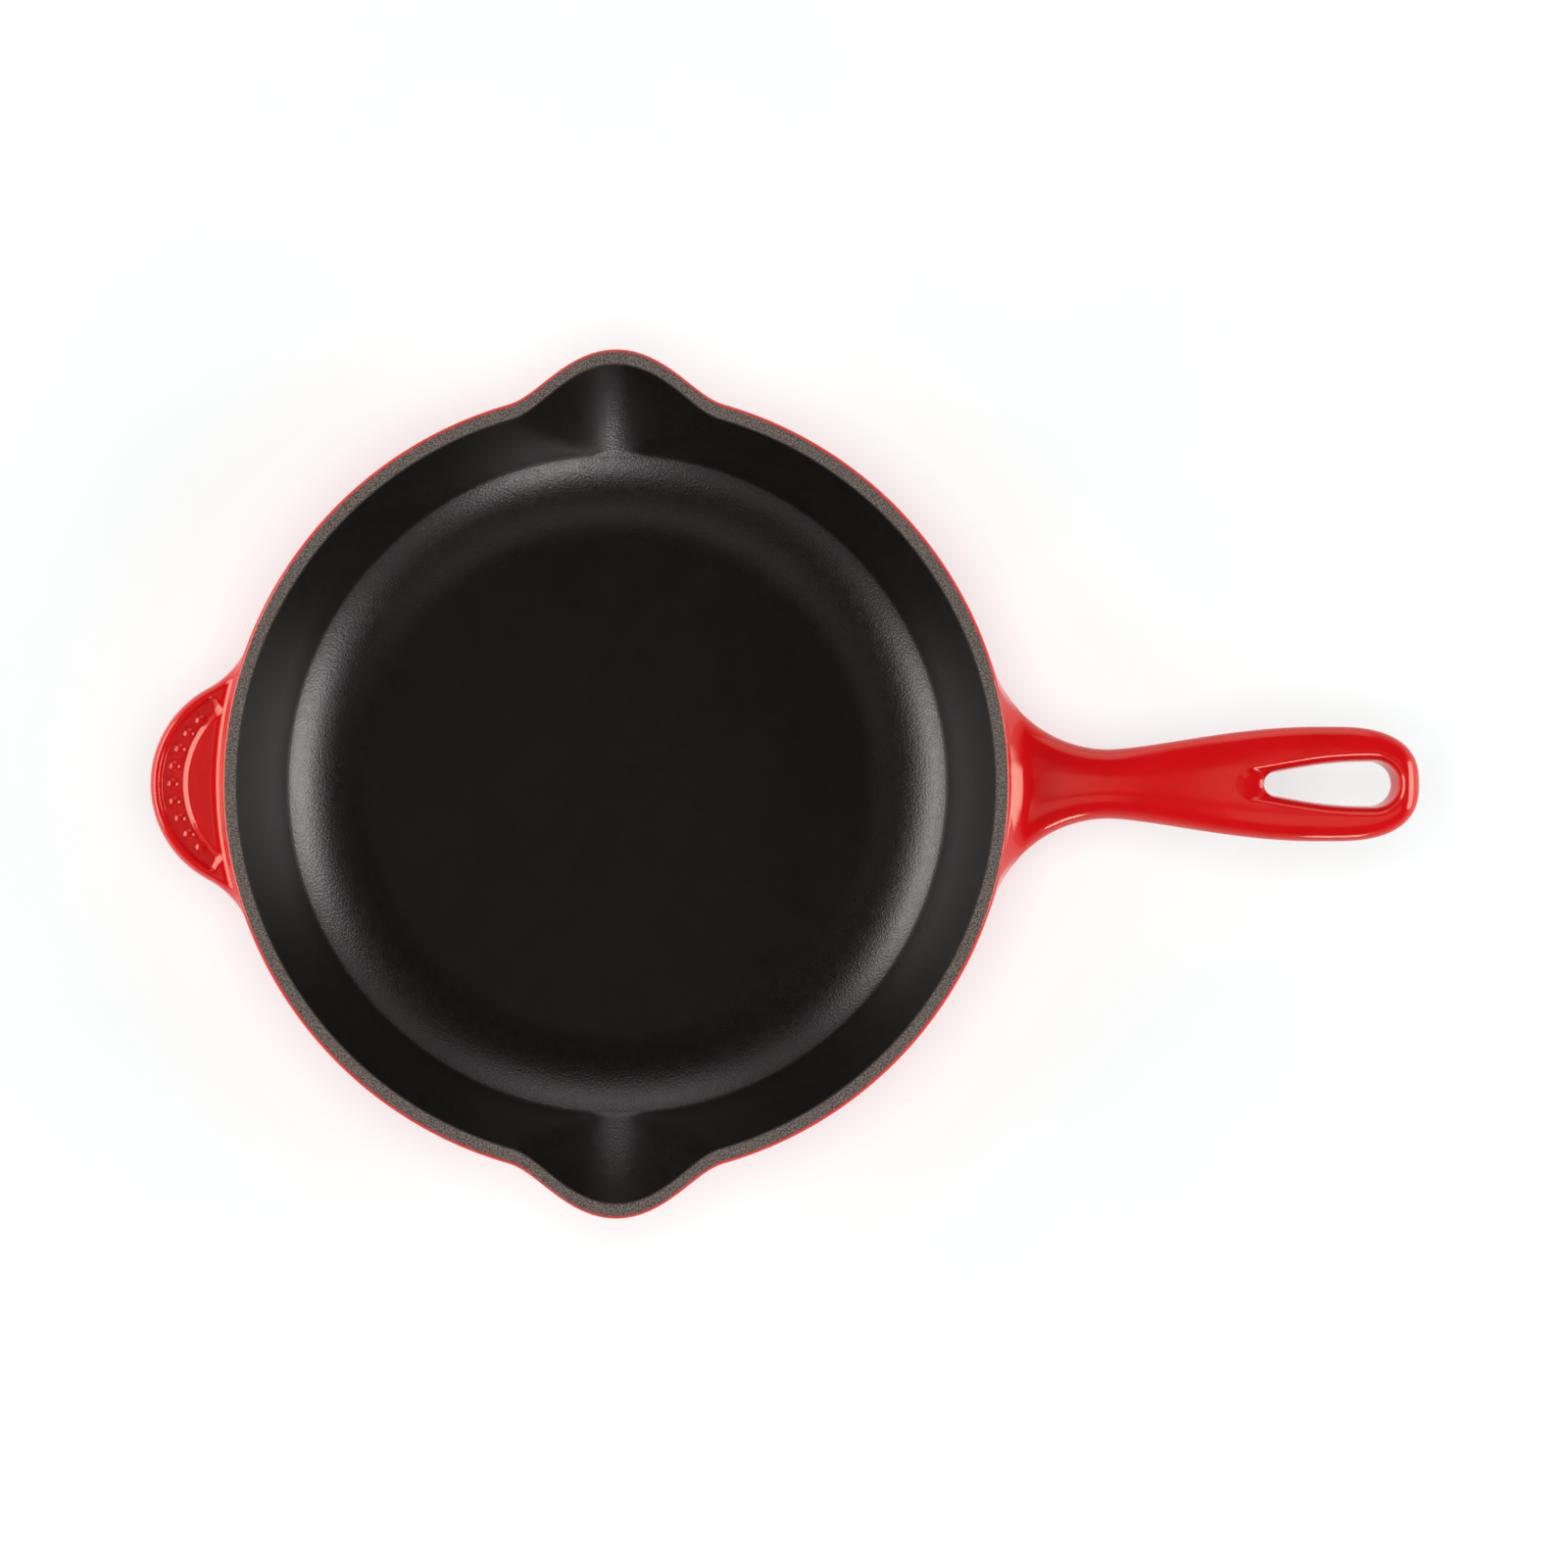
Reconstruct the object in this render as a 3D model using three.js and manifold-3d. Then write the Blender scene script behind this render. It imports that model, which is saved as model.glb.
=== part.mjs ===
// Enamelled cast iron skillet, 26 cm across the rim, in millimetres.
// +Z is up and the long handle points along +X. The origin is the middle of the flat base it stands on.
// The iron is cast in one piece, and is split here at the roots of its two handles.
import * as THREE from 'three';
import Module from 'manifold-3d';

const wasm = await Module();
wasm.setup();

// --- Driving dimensions -------------------------------------------------------------------------

const RIM_HEIGHT = 49;
const RIM_RADIUS = 130;
const RIM_INNER_RADIUS = 124.7;
const RIM_EDGE_ROUND = 0.6;
const RIM_GREY_TO = 129.1;
const RIM_SHOULDER_DROP = 1.6;

// The floor sweeps up in a wide round as far as a slope, and bends tightly from there into the wall.
const FLOOR_HEIGHT = 5;
const FLOOR_ROUND = 40;
const BEND_FROM_SLOPE = THREE.MathUtils.degToRad(42);
const BEND_ROUND = 5;
const WALL_ANGLE = THREE.MathUtils.degToRad(25);
const OUTER_FLAT_RADIUS = 89.5;
const OUTER_WALL_ANGLE = THREE.MathUtils.degToRad(27);

const BASE_RADIUS = 86;
const BASE_STEP = 1;

const LIP_REACH = 13.3;
const LIP_HALF_WIDTH = 36;
const LIP_LOW_WIDTH_SHARE = 0.36;
const LIP_START_HEIGHT = 11.5;
const LIP_RISE_POWER = 1.7;
const LIP_ANGLES = [Math.PI / 2, -Math.PI / 2];

const ENAMEL = 0.4;
const COAT_GAP = 0.05;
const CUT_GAP = 0.3;
const IRON_INSET = ENAMEL + COAT_GAP;

const HANDLE_START = 112;
const HANDLE_NECK = 162.5;
const HANDLE_NECK_HALF = 11.5;
const HANDLE_ROOT_RADIUS = 40;
const HANDLE_ROOT_TURN = 0.965;
const HANDLE_WIDEST = 230;
const HANDLE_WIDEST_HALF = 18.9;
const HANDLE_SWELL_POWER = 0.8;
const HANDLE_END_FROM = 236;
const HANDLE_END = 264.2;
const HANDLE_END_POWER = 2.55;
const HANDLE_END_HALF = 0.5;
const HANDLE_ROOT_TOP = 39.6;
const HANDLE_RISE = 21.4;
const HANDLE_RISE_FROM = 120;
const HANDLE_RISE_TO = 245;
const HANDLE_HALF_THICKNESS = 6.3;
const HANDLE_ROOT_EXTRA = 5;
const HANDLE_ROOT_FADE = 20;

// The powers of the handle's section, at its root, neck and grip: lower is a sharper crest or edge.
const HANDLE_ROOT_TO = 130;
const HANDLE_CREST_POWERS = [1.3, 2.4, 3];
const HANDLE_EDGE_POWERS = [1.9, 2.4, 3];

const HOLE_NARROW_X = 217.3;
const HOLE_NARROW_RADIUS = 3.8;
const HOLE_WIDE_X = 247.8;
const HOLE_WIDE_RADIUS = 7.2;
const HOLE_DRAFT = 0.4;
const HOLE_END_DRAFT = 2;
const HOLE_SIDE_ANGLE = THREE.MathUtils.degToRad(10);
const HOLE_SIDE_PULL = 0.42;
const HOLE_ROUND = 3.2;
const HOLE_ROUND_DEPTH = 4.2;
const HOLE_ROUND_POWER = 1.5;
const HOLE_SCOOP = 8;
const HOLE_SCOOP_WIDENING = 0.4;
const HOLE_CUT_BELOW = 8;
const HOLE_CUT_ABOVE = 4;

const HELPER_CENTRE = -118;
const HELPER_RADIUS = 35.8;
const HELPER_ROOT_RADIUS = 29;
const HELPER_START = -112;
const HELPER_TOP = 45;
const HELPER_THICKNESS = 9;
const HELPER_EDGE_WIDTH = 2.6;
const HELPER_BOTTOM_ROUND = 7;
const HELPER_BAND_FROM = 4.4;
const HELPER_BAND_TO = 10.2;
const HELPER_BAND_DEPTH = 1.6;
const HELPER_SLOPE_WIDTH = 3;

// How finely the rounded shapes are divided.
const ROUND_STEPS = 4;
const BEND_STEPS = 2;
const WALL_STEPS = 3;
const LIP_STEPS = 14;
const BETWEEN_LIPS_STEPS = 24;
const HANDLE_SECTION_STEPS = 20;
const HANDLE_EVEN_STEPS = 16;
const HANDLE_CLOSING_STEPS = 7;
const HANDLE_CLOSING_LENGTH = 20;
const HOLE_SIDE_STEPS = 5;
const HELPER_TAB_STEPS = 8;
const HELPER_EDGE_STEPS = 3;

// --- Solids from points -------------------------------------------------------------------------

function solid(vertices, triangles) {
  return new wasm.Manifold(new wasm.Mesh({
    numProp: 3,
    vertProperties: new Float32Array(vertices.flatMap((v) => [v.x, v.y, v.z])),
    triVerts: new Uint32Array(facedOut(vertices, triangles).flat()),
  }));
}

// The triangles as given, or all turned over where they enclose a negative volume.
function facedOut(vertices, triangles) {
  const cross = new THREE.Vector3();
  const volume = triangles.reduce((sum, [a, b, c]) => (
    sum + vertices[a].dot(cross.crossVectors(vertices[b], vertices[c]))
  ), 0);
  return volume > 0 ? triangles : triangles.map(([a, b, c]) => [a, c, b]);
}

// A closed solid through loops of equally many points. It is capped by a fan at each end.
function loft(loops) {
  const size = loops[0].length;
  const vertices = loops.flat();
  const triangles = [];
  for (let i = 0; i < loops.length - 1; i += 1) {
    for (let j = 0; j < size; j += 1) {
      const a = i * size + j;
      const b = i * size + (j + 1) % size;
      triangles.push([a, b, b + size], [a, b + size, a + size]);
    }
  }
  for (const [loop, first] of [[loops[0], 0], [loops.at(-1), (loops.length - 1) * size]]) {
    const middle = vertices.length;
    vertices.push(loop.reduce((sum, p) => sum.add(p), new THREE.Vector3()).divideScalar(size));
    for (let j = 0; j < size; j += 1) {
      const edge = [first + j, first + (j + 1) % size];
      triangles.push(first === 0 ? [middle, edge[1], edge[0]] : [middle, edge[0], edge[1]]);
    }
  }
  return solid(vertices, triangles);
}

// The loops with every point moved out of the surface that runs through them, or into it where negative.
function moved(loops, distance) {
  const last = loops.length - 1;
  const normals = loops.map((loop, i) => loop.map((p, j) => {
    const along = loops[Math.min(i + 1, last)][j].clone().sub(loops[Math.max(i - 1, 0)][j]);
    const around = loop[(j + 1) % loop.length].clone().sub(loop.at(j - 1));
    return along.cross(around).normalize();
  }));
  const facing = loops.flatMap((loop, i) => {
    const middle = loop.reduce((sum, p) => sum.add(p), new THREE.Vector3()).divideScalar(loop.length);
    return loop.map((p, j) => normals[i][j].dot(p.clone().sub(middle)));
  }).reduce((sum, value) => sum + value, 0);
  return loops.map((loop, i) => loop.map((p, j) => (
    p.clone().addScaledVector(normals[i][j], Math.sign(facing) * distance)
  )));
}

// An open outline moved to its right by a distance, with mitred corners. Points on the axis stay on it.
function inset(points, distance) {
  const steps = points.slice(1).map((p, i) => p.clone().sub(points[i]).normalize());
  return points.map((p, i) => {
    const arriving = steps[Math.max(i - 1, 0)];
    const leaving = steps[Math.min(i, steps.length - 1)];
    const right = new THREE.Vector2(arriving.y + leaving.y, -arriving.x - leaving.x).normalize();
    const mitre = right.dot(new THREE.Vector2(leaving.y, -leaving.x));
    const insidePoint = p.clone().addScaledVector(right, distance / mitre);
    return p.x === 0 ? insidePoint.setX(0) : insidePoint;
  });
}

function arc(centreX, centreY, radius, from, to, steps) {
  return Array.from({ length: steps + 1 }, (_, i) => {
    const angle = THREE.MathUtils.lerp(from, to, i / steps);
    return new THREE.Vector2(centreX + radius * Math.cos(angle), centreY + radius * Math.sin(angle));
  });
}

// --- The pan's profile: radius and height, from the middle of the floor to the middle of the base ---

const innerTop = new THREE.Vector2(RIM_INNER_RADIUS, RIM_HEIGHT - RIM_EDGE_ROUND);
const outerTop = new THREE.Vector2(RIM_RADIUS, RIM_HEIGHT - RIM_SHOULDER_DROP);

// A foot that ends at a wall, with the wall's points up to its top.
function withWall(foot, top) {
  const rise = Array.from({ length: WALL_STEPS }, (_, i) => (
    foot.at(-1).clone().lerp(top, (i + 1) / WALL_STEPS)
  ));
  return [...foot, ...rise];
}

// The round and the bend between the floor and the inner wall. The floor's edge follows from them.
function innerFoot() {
  const start = -Math.PI / 2;
  const bendFrom = start + BEND_FROM_SLOPE;
  const bendCentre = (FLOOR_ROUND - BEND_ROUND) * Math.cos(bendFrom);
  const bendHeight = FLOOR_HEIGHT + FLOOR_ROUND + (FLOOR_ROUND - BEND_ROUND) * Math.sin(bendFrom);
  const footTop = bendHeight - BEND_ROUND * Math.sin(WALL_ANGLE);
  const wallFoot = innerTop.x - (innerTop.y - footTop) * Math.tan(WALL_ANGLE);
  const floorEdge = wallFoot - BEND_ROUND * Math.cos(WALL_ANGLE) - bendCentre;
  return [
    ...arc(floorEdge, FLOOR_HEIGHT + FLOOR_ROUND, FLOOR_ROUND, start, bendFrom, ROUND_STEPS),
    ...arc(floorEdge + bendCentre, bendHeight, BEND_ROUND, bendFrom, -WALL_ANGLE, BEND_STEPS).slice(1),
  ];
}

// The round between the step round the base and the outer wall.
function outerFoot() {
  const across = (outerTop.x - OUTER_FLAT_RADIUS) * Math.cos(OUTER_WALL_ANGLE)
    - (outerTop.y - BASE_STEP) * Math.sin(OUTER_WALL_ANGLE);
  const radius = across / (1 - Math.sin(OUTER_WALL_ANGLE));
  return arc(OUTER_FLAT_RADIUS, BASE_STEP + radius, radius, -Math.PI / 2, -OUTER_WALL_ANGLE, ROUND_STEPS);
}

const cookingPath = [new THREE.Vector2(0, FLOOR_HEIGHT), ...withWall(innerFoot(), innerTop)];
const rimPath = [
  innerTop,
  new THREE.Vector2(RIM_INNER_RADIUS + RIM_EDGE_ROUND, RIM_HEIGHT),
  new THREE.Vector2(RIM_GREY_TO - RIM_EDGE_ROUND, RIM_HEIGHT),
  new THREE.Vector2(RIM_GREY_TO, RIM_HEIGHT - RIM_EDGE_ROUND / 2),
];
const redPath = [
  rimPath.at(-1),
  ...withWall(outerFoot(), outerTop).reverse(),
  new THREE.Vector2(BASE_RADIUS + BASE_STEP, BASE_STEP),
];
const basePath = [redPath.at(-1), new THREE.Vector2(BASE_RADIUS, 0), new THREE.Vector2(0, 0)];
const finishedPath = [...cookingPath, ...rimPath.slice(1), ...redPath.slice(1), ...basePath.slice(1)];

// How far a pouring lip has opened at a height: 0 low in the pan's round, soon wide, and 1 at the rim.
function lipOpening(height) {
  const climbed = (height - LIP_START_HEIGHT) / (RIM_HEIGHT - LIP_START_HEIGHT);
  return 1 - (1 - THREE.MathUtils.clamp(climbed, 0, 1)) ** LIP_RISE_POWER;
}

function lipBulge(angle, opening) {
  if (opening === 0) return 0;
  const halfWidth = LIP_HALF_WIDTH * THREE.MathUtils.lerp(LIP_LOW_WIDTH_SHARE, 1, opening);
  return LIP_ANGLES.reduce((sum, lip) => {
    const along = RIM_RADIUS * Math.abs(Math.atan2(Math.sin(angle - lip), Math.cos(angle - lip)));
    return sum + LIP_REACH * opening * Math.max(0, 1 - (along / halfWidth) ** 2) ** 2;
  }, 0);
}

// Angles round the pan: short steps across the two lips and longer ones between them.
function roundAngles() {
  const lipSpan = 2 * LIP_HALF_WIDTH / RIM_RADIUS;
  const spans = [[lipSpan, LIP_STEPS], [Math.PI - lipSpan, BETWEEN_LIPS_STEPS]];
  const angles = [];
  let angle = (Math.PI - lipSpan) / 2;
  for (let half = 0; half < 2; half += 1) {
    for (const [span, steps] of spans) {
      for (let i = 0; i < steps; i += 1) angles.push(angle + span * i / steps);
      angle += span;
    }
  }
  return angles;
}

// Turns a closed outline about Z, and lets its points follow the lips by their opening.
function revolve(outline, openings) {
  const angles = roundAngles();
  const vertices = [];
  const rings = outline.map((p, i) => {
    const start = vertices.length;
    if (p.x < 1e-6) {
      vertices.push(new THREE.Vector3(0, 0, p.y));
      return angles.map(() => start);
    }
    for (const angle of angles) {
      const radius = p.x + lipBulge(angle, openings[i]);
      vertices.push(new THREE.Vector3(radius * Math.cos(angle), radius * Math.sin(angle), p.y));
    }
    return angles.map((_, j) => start + j);
  });
  const triangles = [];
  for (let i = 0; i < rings.length; i += 1) {
    const ring = rings[i];
    const next = rings[(i + 1) % rings.length];
    for (let j = 0; j < angles.length; j += 1) {
      const k = (j + 1) % angles.length;
      const rising = vertices[ring[j]].distanceTo(vertices[next[k]]);
      const falling = vertices[ring[k]].distanceTo(vertices[next[j]]);
      const halves = rising < falling
        ? [[ring[j], ring[k], next[k]], [ring[j], next[k], next[j]]]
        : [[ring[j], ring[k], next[j]], [ring[k], next[k], next[j]]];
      for (const half of halves) {
        if (new Set(half).size === 3) triangles.push(half);
      }
    }
  }
  return solid(vertices, triangles);
}

const openingsOf = (path) => path.map((p) => lipOpening(p.y));

// A skin of enamel on one stretch of the profile, a hair shorter than it at each free end.
function coat(path) {
  const first = finishedPath.findIndex((p) => p.equals(path[0]));
  const outside = path.map((p) => p.clone());
  const inside = inset(finishedPath, ENAMEL).slice(first, first + path.length);
  for (const [end, next] of [[0, 1], [path.length - 1, path.length - 2]]) {
    if (path[end].x > 0) {
      const trim = path[next].clone().sub(path[end]).setLength(COAT_GAP);
      outside[end].add(trim);
      inside[end].add(trim);
    }
  }
  const openings = openingsOf(path);
  return revolve([...outside, ...inside.reverse()], [...openings, ...openings.toReversed()]);
}

function panIron(distance) {
  return revolve(inset(finishedPath, distance), openingsOf(finishedPath));
}

// Everything inside the outer face of the pan's iron and a gap outside it, where no handle may reach.
function panZone() {
  const clear = inset(redPath, IRON_INSET - CUT_GAP);
  const above = new THREE.Vector2(0, clear[0].y);
  const below = new THREE.Vector2(0, clear.at(-1).y);
  return revolve([above, ...clear, below], [0, ...openingsOf(redPath), 0]);
}

// --- The long handle ------------------------------------------------------------------------------

// Half of the handle's width: a root arc tangent to the rim, a swelling grip and a rounded end.
function handleHalfWidth(x) {
  if (x <= HANDLE_NECK) {
    const along = Math.min(HANDLE_NECK - x, HANDLE_ROOT_RADIUS * HANDLE_ROOT_TURN);
    return HANDLE_NECK_HALF + HANDLE_ROOT_RADIUS - Math.sqrt(HANDLE_ROOT_RADIUS ** 2 - along ** 2);
  }
  if (x >= HANDLE_END_FROM) {
    const along = Math.min(1, (x - HANDLE_END_FROM) / (HANDLE_END - HANDLE_END_FROM));
    return HANDLE_WIDEST_HALF * (1 - along ** HANDLE_END_POWER) ** (1 / HANDLE_END_POWER);
  }
  const along = Math.min(1, (x - HANDLE_NECK) / (HANDLE_WIDEST - HANDLE_NECK));
  const eased = THREE.MathUtils.smoothstep(along ** HANDLE_SWELL_POWER, 0, 1);
  return THREE.MathUtils.lerp(HANDLE_NECK_HALF, HANDLE_WIDEST_HALF, eased);
}

function handleTop(x) {
  return HANDLE_ROOT_TOP + HANDLE_RISE * THREE.MathUtils.smoothstep(x, HANDLE_RISE_FROM, HANDLE_RISE_TO);
}

// How much of the root's extra thickness is left along the handle: 1 at its start, fading to 0.
function rootShare(x) {
  return Math.exp((HANDLE_START - x) / HANDLE_ROOT_FADE);
}

function handleHalfThickness(x) {
  const root = HANDLE_ROOT_EXTRA * rootShare(x);
  const roundOff = Math.max(0, (x - (HANDLE_END - HANDLE_HALF_THICKNESS)) / HANDLE_HALF_THICKNESS);
  return (HANDLE_HALF_THICKNESS + root) * Math.sqrt(Math.max(0, 1 - roundOff ** 2));
}

// A number that changes smoothly along the handle, from its root over its neck to its grip.
function alongHandle([root, neck, grip], x) {
  const toNeck = THREE.MathUtils.smoothstep(x, HANDLE_ROOT_TO, HANDLE_NECK);
  const toGrip = THREE.MathUtils.smoothstep(x, HANDLE_NECK, HANDLE_WIDEST);
  return root + (neck - root) * toNeck + (grip - neck) * toGrip;
}

// One rounded section across the handle, as a closed loop of points. Near the root it has a soft ridge.
function handleSection(x) {
  const halfWidth = Math.max(HANDLE_END_HALF, handleHalfWidth(x));
  const halfThickness = Math.max(HANDLE_END_HALF, handleHalfThickness(x));
  const middle = handleTop(x) - handleHalfThickness(Math.min(x, HANDLE_END - HANDLE_HALF_THICKNESS));
  const acrossPower = 2 / alongHandle(HANDLE_CREST_POWERS, x);
  const heightPower = 2 / alongHandle(HANDLE_EDGE_POWERS, x);
  return Array.from({ length: HANDLE_SECTION_STEPS }, (_, i) => {
    const angle = 2 * Math.PI * i / HANDLE_SECTION_STEPS;
    const y = halfWidth * Math.sign(Math.cos(angle)) * Math.abs(Math.cos(angle)) ** acrossPower;
    const z = halfThickness * Math.sign(Math.sin(angle)) * Math.abs(Math.sin(angle)) ** heightPower;
    return new THREE.Vector3(x, y, middle + z);
  });
}

// Stations along the handle: even down its length, and closing up round its end.
function handleStations() {
  const closeFrom = HANDLE_END - HANDLE_CLOSING_LENGTH;
  const even = Array.from({ length: HANDLE_EVEN_STEPS }, (_, i) => (
    THREE.MathUtils.lerp(HANDLE_START, closeFrom, i / HANDLE_EVEN_STEPS)
  ));
  const closing = Array.from({ length: HANDLE_CLOSING_STEPS + 1 }, (_, i) => (
    THREE.MathUtils.lerp(closeFrom, HANDLE_END, Math.sin(i / HANDLE_CLOSING_STEPS * Math.PI / 2))
  ));
  return [...even, ...closing];
}

// The hanging hole's teardrop outline. `draft` widens it from 0 at the bottom to 1 where its wall ends,
// and `flare` opens it from there, 0, to the mouth on top, 1.
function holeOutline(draft, flare) {
  const wideX = HOLE_WIDE_X + (HOLE_END_DRAFT - HOLE_DRAFT) * draft;
  const wideRadius = HOLE_WIDE_RADIUS + HOLE_DRAFT * draft + HOLE_ROUND * flare;
  const narrowX = HOLE_NARROW_X - HOLE_SCOOP * flare;
  const narrowRadius = HOLE_NARROW_RADIUS + HOLE_DRAFT * draft + HOLE_ROUND * flare * HOLE_SCOOP_WIDENING;
  const tilt = Math.PI / 2 + HOLE_SIDE_ANGLE;
  const start = new THREE.Vector2(narrowX + narrowRadius * Math.cos(tilt), narrowRadius * Math.sin(tilt));
  const leaving = new THREE.Vector2(Math.cos(HOLE_SIDE_ANGLE), Math.sin(HOLE_SIDE_ANGLE));
  const end = new THREE.Vector2(wideX, wideRadius);
  const side = new THREE.CubicBezierCurve(
    start,
    start.clone().addScaledVector(leaving, (wideX - narrowX) * HOLE_SIDE_PULL),
    end.clone().add(new THREE.Vector2((narrowX - wideX) * HOLE_SIDE_PULL, 0)),
    end,
  );
  const upper = [
    ...arc(narrowX, 0, narrowRadius, Math.PI, tilt, ROUND_STEPS),
    ...side.getPoints(HOLE_SIDE_STEPS).slice(1),
    ...arc(wideX, 0, wideRadius, Math.PI / 2, 0, HOLE_SIDE_STEPS).slice(1),
  ];
  const lower = upper.slice(1, -1).reverse().map((p) => new THREE.Vector2(p.x, -p.y));
  return [...upper, ...lower];
}

// Outlines of the hole from below the handle to above it, which open along a soft chamfer at the top.
function holeLoops() {
  const rounding = Array.from({ length: ROUND_STEPS + 1 }, (_, i) => {
    const turn = i / ROUND_STEPS * Math.PI / 2;
    const depth = HOLE_ROUND_DEPTH * (1 - Math.sin(turn) ** HOLE_ROUND_POWER);
    return [depth, 1, 1 - Math.cos(turn) ** HOLE_ROUND_POWER];
  });
  const bottom = 2 * HANDLE_HALF_THICKNESS;
  const loops = [[bottom + HOLE_CUT_BELOW, 0, 0], [bottom, 0, 0], ...rounding, [-HOLE_CUT_ABOVE, 1, 1]];
  return loops.map(([depth, draft, flare]) => (
    holeOutline(draft, flare).map((p) => new THREE.Vector3(p.x, p.y, handleTop(p.x) - depth))
  ));
}

// The handle with all its faces moved in by a distance.
function handleBody(distance) {
  const outside = loft(moved(handleStations().map(handleSection), -distance));
  return outside.subtract(loft(moved(holeLoops(), distance)));
}

// --- The helper handle ------------------------------------------------------------------------------

// Its half-round outline, which runs out on each side in an arc tangent to the rim.
function helperOutline(insetBy) {
  const radius = HELPER_RADIUS - insetBy;
  const rootRadius = HELPER_ROOT_RADIUS + insetBy;
  const toRim = RIM_RADIUS + HELPER_ROOT_RADIUS;
  const toTab = HELPER_RADIUS + HELPER_ROOT_RADIUS;
  const rootX = (toRim ** 2 - toTab ** 2 + HELPER_CENTRE ** 2) / (2 * HELPER_CENTRE);
  const rootY = Math.sqrt(toRim ** 2 - rootX ** 2);
  const tabAngle = Math.atan2(rootY, rootX - HELPER_CENTRE);
  const rimAngle = Math.atan2(-rootY, -rootX);
  const upper = [
    new THREE.Vector2(HELPER_START, rootY + rootRadius * Math.sin(rimAngle)),
    ...arc(rootX, rootY, rootRadius, rimAngle, tabAngle - Math.PI, ROUND_STEPS),
    ...arc(HELPER_CENTRE, 0, radius, tabAngle, Math.PI, HELPER_TAB_STEPS).slice(1),
  ];
  const lower = upper.slice(0, -1).reverse().map((p) => new THREE.Vector2(p.x, -p.y));
  return [...upper, ...lower];
}

// A quarter of the helper handle's rounded edge: heights, and how far they stand in from the outline.
function helperEdge(width, rise) {
  return Array.from({ length: HELPER_EDGE_STEPS + 1 }, (_, i) => {
    const turn = i / HELPER_EDGE_STEPS * Math.PI / 2;
    return [HELPER_TOP - HELPER_THICKNESS / 2 + rise * Math.sin(turn), width * (1 - Math.cos(turn))];
  });
}

// Outlines from the underside, over the raised edge and across the sunk band to the top face.
function helperLoops() {
  const levels = [
    ...helperEdge(HELPER_BOTTOM_ROUND, -HELPER_THICKNESS / 2).reverse(),
    ...helperEdge(HELPER_EDGE_WIDTH, HELPER_THICKNESS / 2).slice(1),
    [HELPER_TOP - HELPER_BAND_DEPTH, HELPER_BAND_FROM],
    [HELPER_TOP - HELPER_BAND_DEPTH, HELPER_BAND_TO],
    [HELPER_TOP, HELPER_BAND_TO + HELPER_SLOPE_WIDTH],
  ];
  return levels.map(([z, insetBy]) => helperOutline(insetBy).map((p) => new THREE.Vector3(p.x, p.y, z)));
}

// The helper handle with all its faces moved in by a distance.
function helperBody(distance) {
  return loft(moved(helperLoops(), -distance));
}

// --- Assembly -----------------------------------------------------------------------------------------

const FINISHES = {
  iron: { color: 0x4a4744, roughness: 0.75, metalness: 0.6 },
  red: { color: 0xc8161c, roughness: 0.15, metalness: 0 },
  black: { color: 0x1b1917, roughness: 0.45, metalness: 0 },
  grey: { color: 0x6a625c, roughness: 0.85, metalness: 0 },
};

const zone = panZone();
const outside = coat(redPath).subtract(handleBody(-CUT_GAP)).subtract(helperBody(-CUT_GAP));

const pieces = [
  ['pan_casting', 'iron', panIron(IRON_INSET)],
  ['long_handle_casting', 'iron', handleBody(IRON_INSET).subtract(zone)],
  ['helper_handle_casting', 'iron', helperBody(IRON_INSET).subtract(zone)],
  ['pan_outside_enamel', 'red', outside],
  ['long_handle_enamel', 'red', handleBody(0).subtract(handleBody(ENAMEL)).subtract(zone)],
  ['helper_handle_enamel', 'red', helperBody(0).subtract(helperBody(ENAMEL)).subtract(zone)],
  ['cooking_surface_enamel', 'black', coat(cookingPath)],
  ['rim_enamel', 'grey', coat(rimPath)],
  ['base_enamel', 'black', coat(basePath)],
];

function geometryOf(body) {
  const mesh = body.getMesh();
  const geometry = new THREE.BufferGeometry();
  geometry.setAttribute('position', new THREE.BufferAttribute(new Float32Array(mesh.vertProperties), 3));
  geometry.setIndex(new THREE.BufferAttribute(new Uint32Array(mesh.triVerts), 1));
  geometry.computeVertexNormals();
  return geometry;
}

const skillet = new THREE.Group();
skillet.name = 'cast_iron_skillet';
for (const [name, finish, body] of pieces) {
  const mesh = new THREE.Mesh(geometryOf(body), new THREE.MeshStandardMaterial(FINISHES[finish]));
  mesh.name = name;
  skillet.add(mesh);
}

export default skillet;
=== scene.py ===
"""The looks of an enamelled cast iron skillet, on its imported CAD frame.

The visible coats repeat the CAD's own formulas on finer meshes, and add rounds and details that are too
fine for the CAD's triangles. Shapes are worked out in millimetres, and become metres when their mesh is
made.
"""
import math

import bpy
import numpy as np
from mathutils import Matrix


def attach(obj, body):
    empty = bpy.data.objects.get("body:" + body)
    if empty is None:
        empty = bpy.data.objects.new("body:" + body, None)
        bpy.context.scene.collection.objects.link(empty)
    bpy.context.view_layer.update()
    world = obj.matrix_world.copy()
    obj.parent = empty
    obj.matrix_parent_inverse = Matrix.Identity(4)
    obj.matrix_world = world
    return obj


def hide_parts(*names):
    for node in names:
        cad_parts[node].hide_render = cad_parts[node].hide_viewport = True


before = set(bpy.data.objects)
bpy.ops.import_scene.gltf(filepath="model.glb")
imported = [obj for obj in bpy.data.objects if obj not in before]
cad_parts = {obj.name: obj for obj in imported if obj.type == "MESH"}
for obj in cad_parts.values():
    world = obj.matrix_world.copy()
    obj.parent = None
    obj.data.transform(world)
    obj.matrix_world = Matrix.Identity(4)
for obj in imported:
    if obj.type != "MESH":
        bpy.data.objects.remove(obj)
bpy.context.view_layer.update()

MM = 0.001

# --- Driving dimensions, in millimetres, as in the CAD --------------------------------------------

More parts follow.
